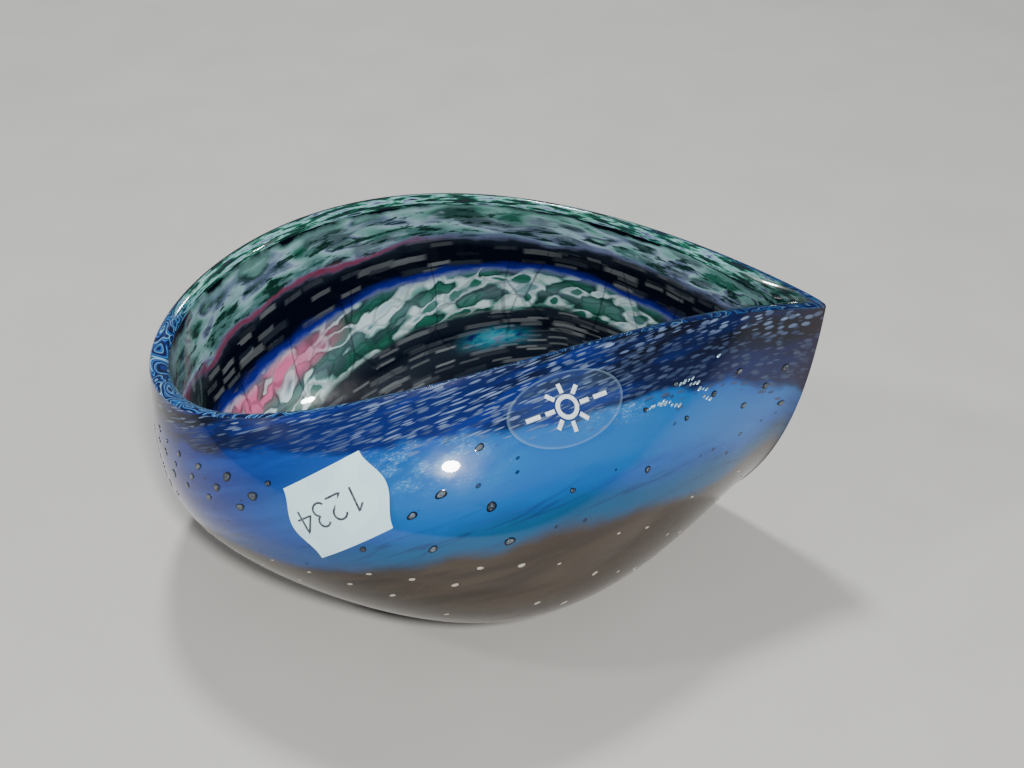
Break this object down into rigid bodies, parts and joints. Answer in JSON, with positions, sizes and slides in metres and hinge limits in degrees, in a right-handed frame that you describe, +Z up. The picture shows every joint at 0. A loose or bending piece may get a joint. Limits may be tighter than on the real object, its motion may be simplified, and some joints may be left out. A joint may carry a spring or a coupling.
{
  "type": "art glass bowl",
  "caption": "Free-form blown glass bowl with a teardrop mouth, a pinched pointed end, a high back wall and a folded-in front wall, in layered blue and dark glass.",
  "frame": {"origin": "centre of the polished foot's resting face", "axes": "+X to the pinched end, the longest way of the bowl; +Y to the high back wall; +Z up, away from the resting face"},
  "size_m": [0.15, 0.1, 0.073],
  "materials": {
    "polished_glass": "ground and polished",
    "core_glass": "gloss",
    "inner_colour": "gloss, mottled bands",
    "base_colour": "gloss, smoky",
    "blue_colour": "gloss, streaked",
    "navy_band": "gloss, fine pale dashes",
    "lip_wrap": "fire polished, fine contour lines",
    "ring_cell": "gloss",
    "frit": "gloss",
    "foil": "metal leaf under glass",
    "label_paper": "matt coated paper",
    "label_ink": "pen ink",
    "clear_film": "clear film over navy glass",
    "white_print": "screen print"
  },
  "bodies": {
    "root": {"polished_foot": "polished_glass", "core_glass": "core_glass", "inner_colour": "inner_colour", "base_colour": "base_colour", "blue_colour": "blue_colour", "navy_band": "navy_band", "lip_wrap": "lip_wrap", "ring_cells": "ring_cell", "frit_chips": "frit", "foil_flecks": "foil", "price_label": "label_paper", "price_digits": "label_ink", "maker_film": "clear_film", "maker_print": "white_print"}
  },
  "joints": []
}
